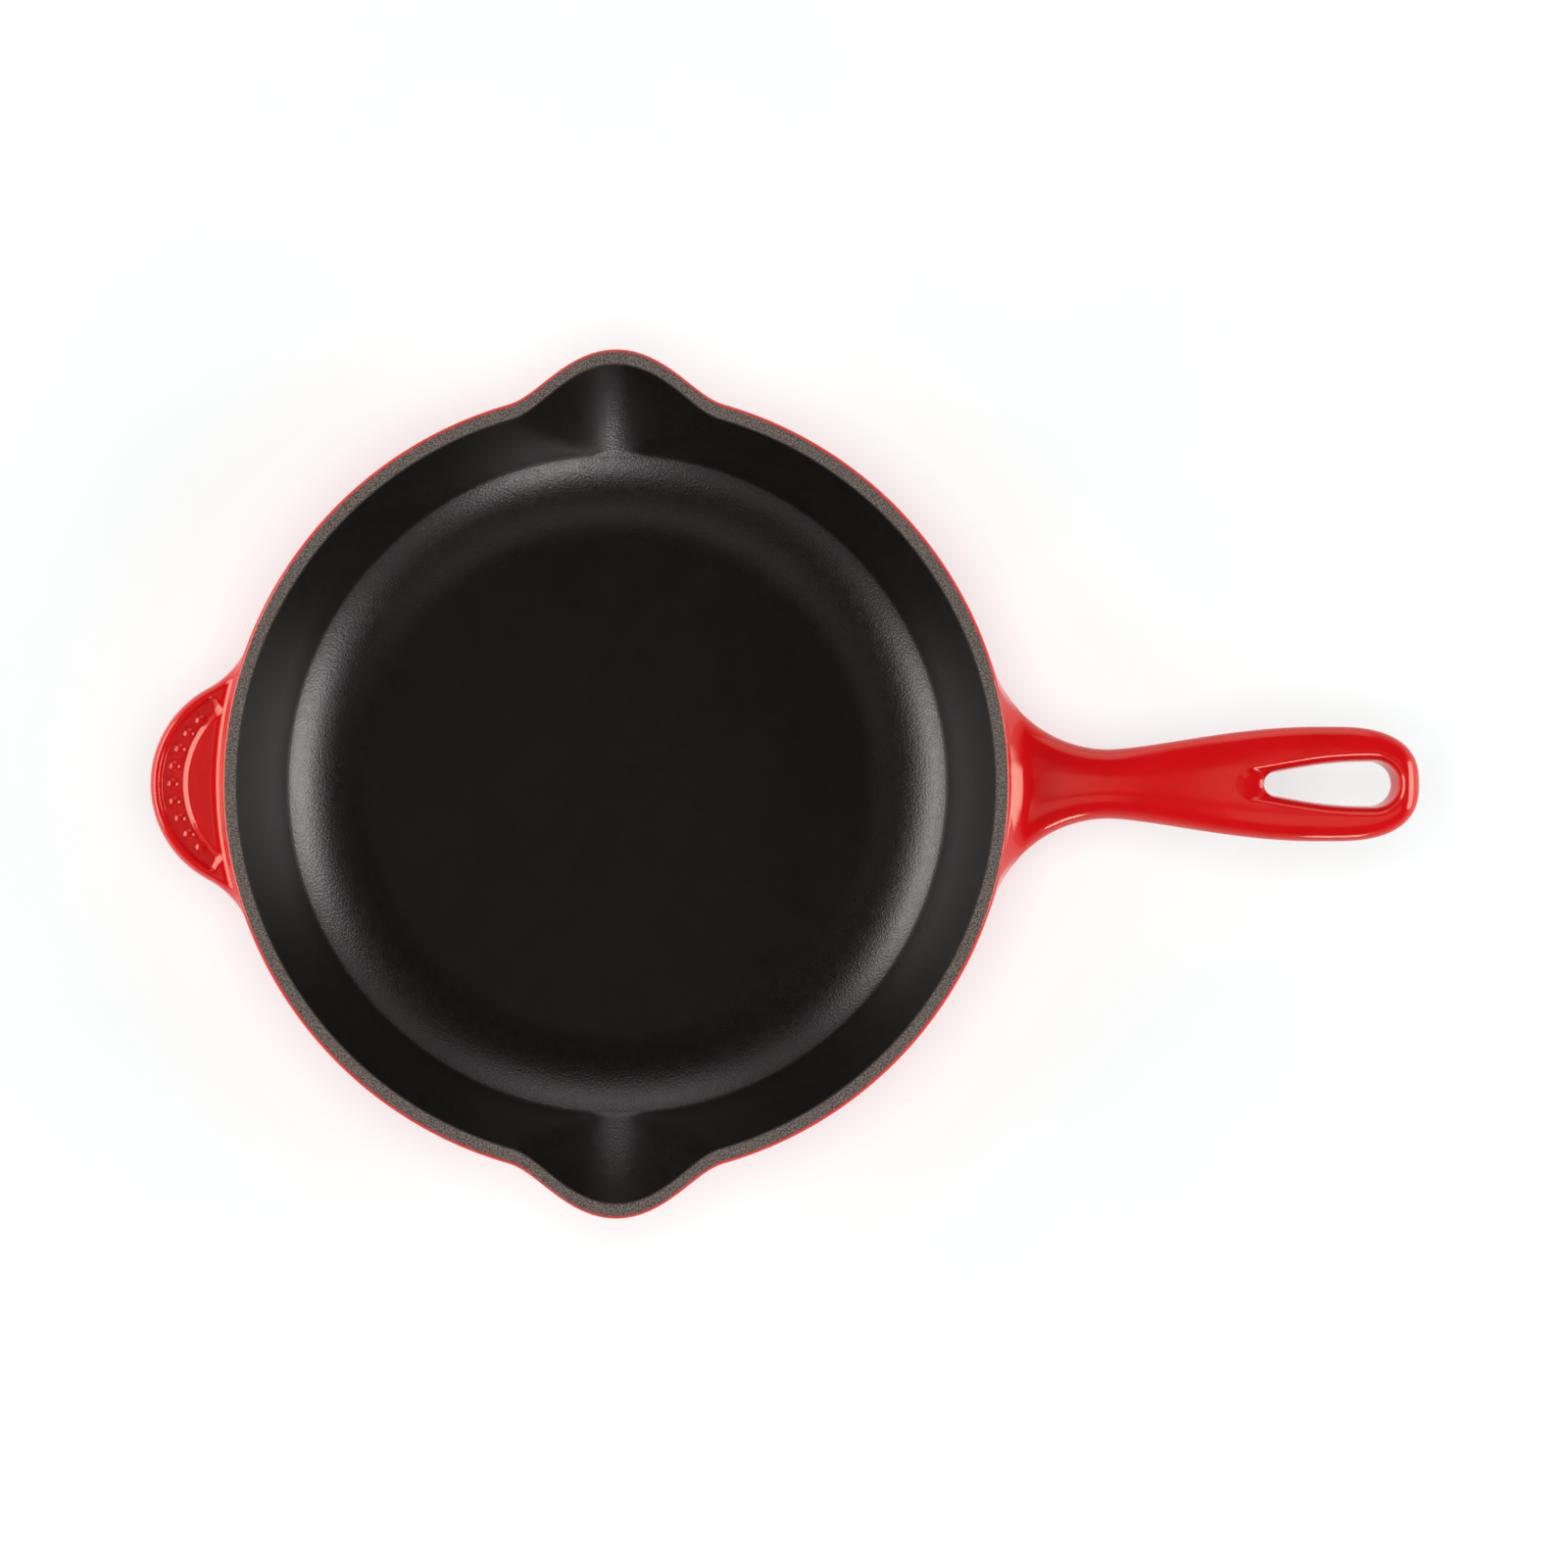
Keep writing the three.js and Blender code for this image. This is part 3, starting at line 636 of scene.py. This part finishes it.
def helper_upper(points):
    """The height of the upper face at plan points: outer lip, sunk band with its beads, slope, platform."""
    edge = helper_edge_distance(points)
    round_off = np.clip(1 - edge / HELPER_EDGE_WIDTH, 0, 1)
    half = HELPER_THICKNESS / 2
    height = HELPER_TOP - half + half * np.sqrt(1 - round_off ** 2)
    from_platform = np.linalg.norm(points - np.array((HELPER_PLATFORM_CENTRE, 0)), axis=-1)
    outer_fall = smoothstep(edge, HELPER_EDGE_WIDTH, HELPER_BAND_FROM)
    slope = smoothstep(from_platform, HELPER_PLATFORM_RADIUS, HELPER_PLATFORM_RADIUS + HELPER_SLOPE_WIDTH)
    turn = np.abs(np.arctan2(points[..., 1], HELPER_CENTRE - points[..., 0]))
    height = height - HELPER_BAND_DEPTH * outer_fall * slope * (1 - smoothstep(turn, *HELPER_BAND_ENDS))
    for centre in bead_centres():
        share = np.clip(np.linalg.norm(points - centre, axis=-1) / BEAD_RADIUS, 0, 1)
        height = height + BEAD_HEIGHT * (1 - share ** 2) ** 1.5
    inside_edge = smoothstep(edge, 0, HELPER_EDGE_WIDTH)
    return height + inside_edge * root_round(points, HELPER_FILLET, above=True)


def helper_lower(points):
    """The height of the lower face at plan points, with its rounded edge and the round at its root."""
    edge = helper_edge_distance(points)
    round_off = np.clip(1 - edge / HELPER_BOTTOM_ROUND, 0, 1)
    half = HELPER_THICKNESS / 2
    height = HELPER_TOP - half - half * np.sqrt(1 - round_off ** 2)
    standing = np.concatenate((points, height[..., None]), axis=-1)
    inside_edge = smoothstep(edge, 0, HELPER_BOTTOM_ROUND)
    return height - inside_edge * root_round(standing, HELPER_FILLET, above=False)


def ray_to_circle(directions, centre, radius, outer):
    """How far rays from the helper handle's centre run before they cross a circle, or leave it if outer."""
    offset = np.array((HELPER_CENTRE, 0)) - centre
    half_b = directions @ offset
    inside = np.maximum(half_b ** 2 - (offset @ offset - radius ** 2), 0)
    return -half_b + (np.sqrt(inside) if outer else -np.sqrt(inside))


def helper_rays():
    """Directions from the helper handle's centre, round from rim to rim, and their reach to its outline."""
    root = helper_root_centre()
    tab_angle = helper_tab_angle()
    rim_point = root * RIM_RADIUS / (RIM_RADIUS + HELPER_ROOT_RADIUS)
    rim_angle = math.atan2(rim_point[1], rim_point[0] - HELPER_CENTRE)
    full_turn = 2 * math.pi
    angles = np.concatenate((
        np.linspace(rim_angle, tab_angle, HELPER_ROOT_STEPS, endpoint=False),
        np.linspace(tab_angle, full_turn - tab_angle, HELPER_TAB_STEPS + 1),
        np.linspace(full_turn - tab_angle, full_turn - rim_angle, HELPER_ROOT_STEPS + 1)[1:],
    ))
    directions = np.column_stack((np.cos(angles), np.sin(angles)))
    roots = np.where(directions[:, 1:] > 0, root, root * (1, -1))
    reach = np.full(len(angles), float(HELPER_RADIUS))
    for i, angle in enumerate(angles):
        if math.pi - abs(math.pi - angle) < tab_angle:
            reach[i] = ray_to_circle(directions[i], roots[i], HELPER_ROOT_RADIUS, outer=False)
    return directions, reach


def helper_face(height, wall_height, steps):
    """Points on one face of the helper handle, from its outline to where it is inside the pan's wall."""
    directions, reach = helper_rays()
    wall_radius = RIM_RADIUS - (OUTER_TOP[1] - wall_height) * math.tan(OUTER_WALL_ANGLE) - HELPER_BURIED
    to_wall = ray_to_circle(directions, np.zeros(2), wall_radius, outer=True)
    span = (reach - np.minimum(to_wall, reach - HELPER_LEAST_SPAN))[:, None]
    edge_width = np.minimum(HELPER_EDGE_WIDTH, span * HELPER_EDGE_SHARE)
    edge_shares = 1 - np.cos(np.linspace(0, math.pi / 2, HELPER_EDGE_STEPS + 1))
    inner_shares = np.linspace(0, 1, steps + 1)[1:]
    from_outline = np.hstack((edge_width * edge_shares, edge_width + (span - edge_width) * inner_shares))
    from_centre = (reach[:, None] - from_outline)[..., None]
    plan = np.array((HELPER_CENTRE, 0)) + directions[:, None] * from_centre
    return np.concatenate((plan, height(plan)[..., None]), axis=-1)


def make_helper_handle():
    lower = helper_face(helper_lower, HELPER_TOP - HELPER_THICKNESS, HELPER_LOWER_STEPS)
    upper = helper_face(helper_upper, HELPER_TOP, HELPER_UPPER_STEPS)
    body = np.concatenate((lower[:, ::-1], upper[:, 1:]), axis=1)
    faces = flipped(grid_faces(*body.shape[:2]))
    return piece("helper_handle_coat", "helper_handle_enamel", body.reshape(-1, 3), faces)


# --- Materials ------------------------------------------------------------------------------------

RED = (0.60, 0.0052, 0.0078)
DEEP_RED = (0.56, 0.0042, 0.0066)
GREY = (0.105, 0.087, 0.077)
DARK_GREY = (0.028, 0.023, 0.020)
PALE_GREY = (0.215, 0.186, 0.173)
BLACK = (0.0027, 0.0016, 0.0010)
LIGHTER_BLACK = tuple(1.5 * value for value in BLACK)
WORN_BLACK = (0.018, 0.016, 0.014)
DARK_IRON = (0.06, 0.055, 0.05)
PALE_IRON = (0.10, 0.095, 0.09)

# How the coats tint what they mirror.
RED_MIRROR_TINT = (1, 0.93, 0.76, 1)
BLACK_MIRROR_TINT = (0.975, 0.955, 1, 1)

# The rim's speckled band, in millimetres: how far its edges wander, and over which distances from its
# outer and inner edge red and dark give way to grey.
RAGGED_EDGE = 1.2
RED_TO_GREY = (0, 0.12)
DARK_TO_GREY = (0.3, 0.7)


class Look:
    """A material's nodes, with short ways to add the ones used here."""

    def __init__(self, name, roughness, specular=0.5):
        self.material = bpy.data.materials.new(name)
        self.material.use_nodes = True
        self.nodes = self.material.node_tree.nodes
        self.links = self.material.node_tree.links
        self.shader = self.nodes["Principled BSDF"]
        self.shader.inputs["Roughness"].default_value = roughness
        self.shader.inputs["Specular IOR Level"].default_value = specular
        self.place = self.nodes.new("ShaderNodeTexCoord").outputs["Object"]

    def set_or_link(self, socket, value):
        if isinstance(value, tuple):
            socket.default_value = (*value, 1)
        elif isinstance(value, (int, float)):
            socket.default_value = value
        else:
            self.links.new(value, socket)

    def noise(self, size, detail=2.0, roughness=0.5):
        """Noise with features of a size in millimetres."""
        node = self.nodes.new("ShaderNodeTexNoise")
        node.inputs["Scale"].default_value = 1 / (size * MM)
        node.inputs["Detail"].default_value = detail
        node.inputs["Roughness"].default_value = roughness
        self.links.new(self.place, node.inputs["Vector"])
        return node.outputs["Fac"]

    def mark(self, name):
        """A number that the piece's mesh holds at each point."""
        node = self.nodes.new("ShaderNodeAttribute")
        node.attribute_name = name
        return node.outputs["Fac"]

    def math(self, operation, first, second):
        node = self.nodes.new("ShaderNodeMath")
        node.operation = operation
        self.set_or_link(node.inputs[0], first)
        self.set_or_link(node.inputs[1], second)
        return node.outputs[0]

    def ranged(self, value, from_range, to_range):
        """A value stretched from one range over another, and kept within it."""
        node = self.nodes.new("ShaderNodeMapRange")
        self.links.new(value, node.inputs["Value"])
        numbers = (*from_range, *to_range)
        for name, number in zip(("From Min", "From Max", "To Min", "To Max"), numbers):
            node.inputs[name].default_value = number
        return node.outputs["Result"]

    def varied(self, to_range, size, detail=3, roughness=0.5, noise_range=(0.3, 0.7)):
        """A number that noise of a size in millimetres varies over a range."""
        return self.ranged(self.noise(size, detail, roughness), noise_range, to_range)

    def mixed(self, share, first, second):
        node = self.nodes.new("ShaderNodeMix")
        node.data_type = "RGBA"
        self.links.new(share, node.inputs["Factor"])
        self.set_or_link(node.inputs[6], first)
        self.set_or_link(node.inputs[7], second)
        return node.outputs[2]

    def bump(self, height, strength, distance):
        """A bump of a depth in millimetres, on top of the bumps made before it."""
        node = self.nodes.new("ShaderNodeBump")
        self.set_or_link(node.inputs["Strength"], strength)
        node.inputs["Distance"].default_value = distance * MM
        self.links.new(height, node.inputs["Height"])
        before = self.shader.inputs["Normal"]
        if before.is_linked:
            self.links.new(before.links[0].from_socket, node.inputs["Normal"])
        self.links.new(node.outputs["Normal"], before)

    def finish(self, colour, roughness=None):
        self.links.new(colour, self.shader.inputs["Base Color"])
        if roughness is not None:
            self.links.new(roughness, self.shader.inputs["Roughness"])
        return self.material


def red_enamel():
    look = Look("glossy_red_enamel", roughness=0.13, specular=0.65)
    look.shader.inputs["Specular Tint"].default_value = RED_MIRROR_TINT
    red = look.mixed(look.varied((0, 1), size=18, noise_range=(0.35, 0.65)), DEEP_RED, RED)
    look.bump(look.noise(7), strength=0.35, distance=0.12)
    look.bump(look.noise(1.6), strength=0.12, distance=0.03)
    return look.finish(red, look.varied((0.10, 0.17), size=2.5))


def black_enamel():
    look = Look("satin_black_enamel", roughness=0.33, specular=1.0)
    look.shader.inputs["Specular Tint"].default_value = BLACK_MIRROR_TINT
    shade = look.varied((0, 1), size=14, detail=4, noise_range=(0.35, 0.65))
    black = look.mixed(shade, BLACK, LIGHTER_BLACK)
    grain = look.mark("grain")
    look.bump(look.noise(0.7), strength=grain, distance=0.1)
    look.bump(look.noise(0.5), strength=0.3, distance=0.012)
    return look.finish(black, look.varied((0.30, 0.36), size=3))


def rim_enamel():
    look = Look("speckled_rim_enamel", roughness=0.8, specular=0.35)
    speckle = look.varied((0, 1), size=0.55, roughness=0.8, noise_range=(0.44, 0.58))
    broad = look.varied((0, 1), size=5)
    grey = look.mixed(speckle, DARK_GREY, PALE_GREY)
    grey = look.mixed(look.math("MULTIPLY", broad, 0.25), grey, GREY)
    ragged = look.math("MULTIPLY", look.math("SUBTRACT", look.noise(0.5, 3), 0.5), RAGGED_EDGE)
    is_red = look.ranged(look.math("ADD", look.mark("from_red"), ragged), RED_TO_GREY, (1, 0))
    grey = look.mixed(is_red, grey, RED)
    is_dark = look.ranged(look.math("ADD", look.mark("from_black"), ragged), DARK_TO_GREY, (1, 0))
    look.bump(look.noise(0.5, 3, roughness=0.6), strength=0.6, distance=0.08)
    colour = look.mixed(is_dark, grey, DARK_GREY)
    matt = look.varied((0.7, 0.9), size=0.8)
    return look.finish(colour, look.math("SUBTRACT", matt, look.math("MULTIPLY", is_red, 0.5)))


def base_enamel():
    look = Look("base_black_enamel", roughness=0.4)
    worn = look.varied((0, 1), size=9, detail=4, noise_range=(0.45, 0.7))
    look.bump(look.noise(0.9, 3, roughness=0.6), strength=0.6, distance=0.08)
    return look.finish(look.mixed(worn, BLACK, WORN_BLACK), look.varied((0.36, 0.52), size=3))


def cast_iron():
    look = Look("raw_cast_iron", roughness=0.7)
    look.shader.inputs["Metallic"].default_value = 0.6
    look.bump(look.noise(0.8, 4, roughness=0.6), strength=0.7, distance=0.15)
    iron = look.mixed(look.varied((0, 1), size=1.5, detail=4), DARK_IRON, PALE_IRON)
    return look.finish(iron, look.varied((0.6, 0.8), size=1))


def dress(objects, material):
    for thing in objects:
        if not thing.material_slots:
            thing.data.materials.append(material)
        for material_slot in thing.material_slots:
            material_slot.material = material


# --- Camera, light and floor, in metres -----------------------------------------------------------

# The camera looks straight down from this height over the rim, and sees this width there. Its sensor
# is in millimetres.
CAMERA_X = 0.0553
CAMERA_HEIGHT = 4.0
PICTURE_WIDTH = 0.5163
SENSOR = 36

SOFT_WHITE = (1, 0.97, 0.93)
WARM = (1, 0.92, 0.80)

# The softboxes: name, azimuth and elevation in degrees, distance, width, height, and radiance.
SOFTBOXES = (
    ("right_light", -2, 20, 1.6, 1.05, 0.8, 5.7),
    ("left_light", 174, 16, 1.6, 1.6, 0.85, 4.8),
    ("front_light", -80, 17, 1.6, 0.5, 0.22, 13),
    ("key_light", -90, 68.5, 1.9, 1.4, 0.5, 0.54, WARM),
    ("crest_light", 180, 74, 1.9, 0.5, 0.3, 0.5, WARM),
    ("back_light", 90, 21, 1.7, 1.2, 1, 0.85),
    ("top_light", 0, 90, 2.0, 1.2, 1.2, 4.85, SOFT_WHITE, False),
)

# The tent round the scene is bright low down and dark overhead: between these heights, 1 straight up.
TENT_HEIGHTS = (0.15, 0.6)
TENT_BRIGHTNESS = (0.6, 0.02)

FLOOR_RADIUS = 4
FLOOR_CORNERS = 64
FLOOR_SHADES = ((0.52, 0.57, 0.585), (0.54, 0.59, 0.605))
FLOOR_GLOW = (0.965, 1, 1, 1)
FLOOR_GLOW_STRENGTH = 0.46


def make_camera():
    data = bpy.data.cameras.new("camera")
    data.sensor_width = SENSOR
    data.lens = SENSOR * CAMERA_HEIGHT / PICTURE_WIDTH
    camera = bpy.data.objects.new("camera", data)
    camera.location = (CAMERA_X, 0, CAMERA_HEIGHT + RIM_HEIGHT * MM)
    bpy.context.collection.objects.link(camera)
    bpy.context.scene.camera = camera


def softbox(name, azimuth, elevation, distance, width, height, radiance, colour=SOFT_WHITE, glossy=True):
    """A rectangular light that faces the skillet."""
    data = bpy.data.lights.new(name, "AREA")
    data.shape = "RECTANGLE"
    data.size = width
    data.size_y = height
    data.energy = radiance * math.pi * width * height
    data.color = colour
    light = bpy.data.objects.new(name, data)
    turn, rise = math.radians(azimuth), math.radians(elevation)
    light.location = (
        distance * math.cos(rise) * math.cos(turn),
        distance * math.cos(rise) * math.sin(turn),
        distance * math.sin(rise),
    )
    light.rotation_euler = (math.pi / 2 - rise, 0, turn + math.pi / 2)
    light.visible_camera = False
    light.visible_glossy = glossy
    bpy.context.collection.objects.link(light)


def make_tent():
    world = bpy.data.worlds.new("tent")
    bpy.context.scene.world = world
    world.use_nodes = True
    nodes, links = world.node_tree.nodes, world.node_tree.links
    direction = nodes.new("ShaderNodeTexCoord").outputs["Generated"]
    split = nodes.new("ShaderNodeSeparateXYZ")
    links.new(direction, split.inputs[0])
    ramp = nodes.new("ShaderNodeMapRange")
    ramp.interpolation_type = "SMOOTHSTEP"
    links.new(split.outputs["Z"], ramp.inputs["Value"])
    numbers = (*TENT_HEIGHTS, *TENT_BRIGHTNESS)
    for name, number in zip(("From Min", "From Max", "To Min", "To Max"), numbers):
        ramp.inputs[name].default_value = number
    links.new(ramp.outputs["Result"], nodes["Background"].inputs["Strength"])
    nodes["Background"].inputs["Color"].default_value = (*SOFT_WHITE, 1)


def make_floor():
    angles = np.linspace(0, 2 * math.pi, FLOOR_CORNERS, endpoint=False)
    points = [(FLOOR_RADIUS * math.cos(angle), FLOOR_RADIUS * math.sin(angle), 0) for angle in angles]
    mesh = bpy.data.meshes.new("studio_floor")
    mesh.from_pydata(points, [], [tuple(range(FLOOR_CORNERS))])
    floor = bpy.data.objects.new("studio_floor", mesh)
    bpy.context.collection.objects.link(floor)
    look = Look("pale_floor", roughness=0.9, specular=0.1)
    look.shader.inputs["Emission Color"].default_value = FLOOR_GLOW
    look.shader.inputs["Emission Strength"].default_value = FLOOR_GLOW_STRENGTH
    mesh.materials.append(look.finish(look.mixed(look.noise(40), *FLOOR_SHADES)))


make_camera()
cooking_surface = make_cooking_surface()
rim = make_rim()
pan_outside = make_pan_outside()
base = make_base()
long_handle = make_long_handle()
helper_handle = make_helper_handle()

dress([pan_outside, long_handle, helper_handle], red_enamel())
dress([cooking_surface], black_enamel())
dress([rim], rim_enamel())
dress([base], base_enamel())
dress([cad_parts[name] for name in ("pan_casting", "long_handle_casting", "helper_handle_casting")],
      cast_iron())
for numbers in SOFTBOXES:
    softbox(*numbers)
make_tent()
bpy.context.scene.view_settings.view_transform = "Standard"
make_floor()
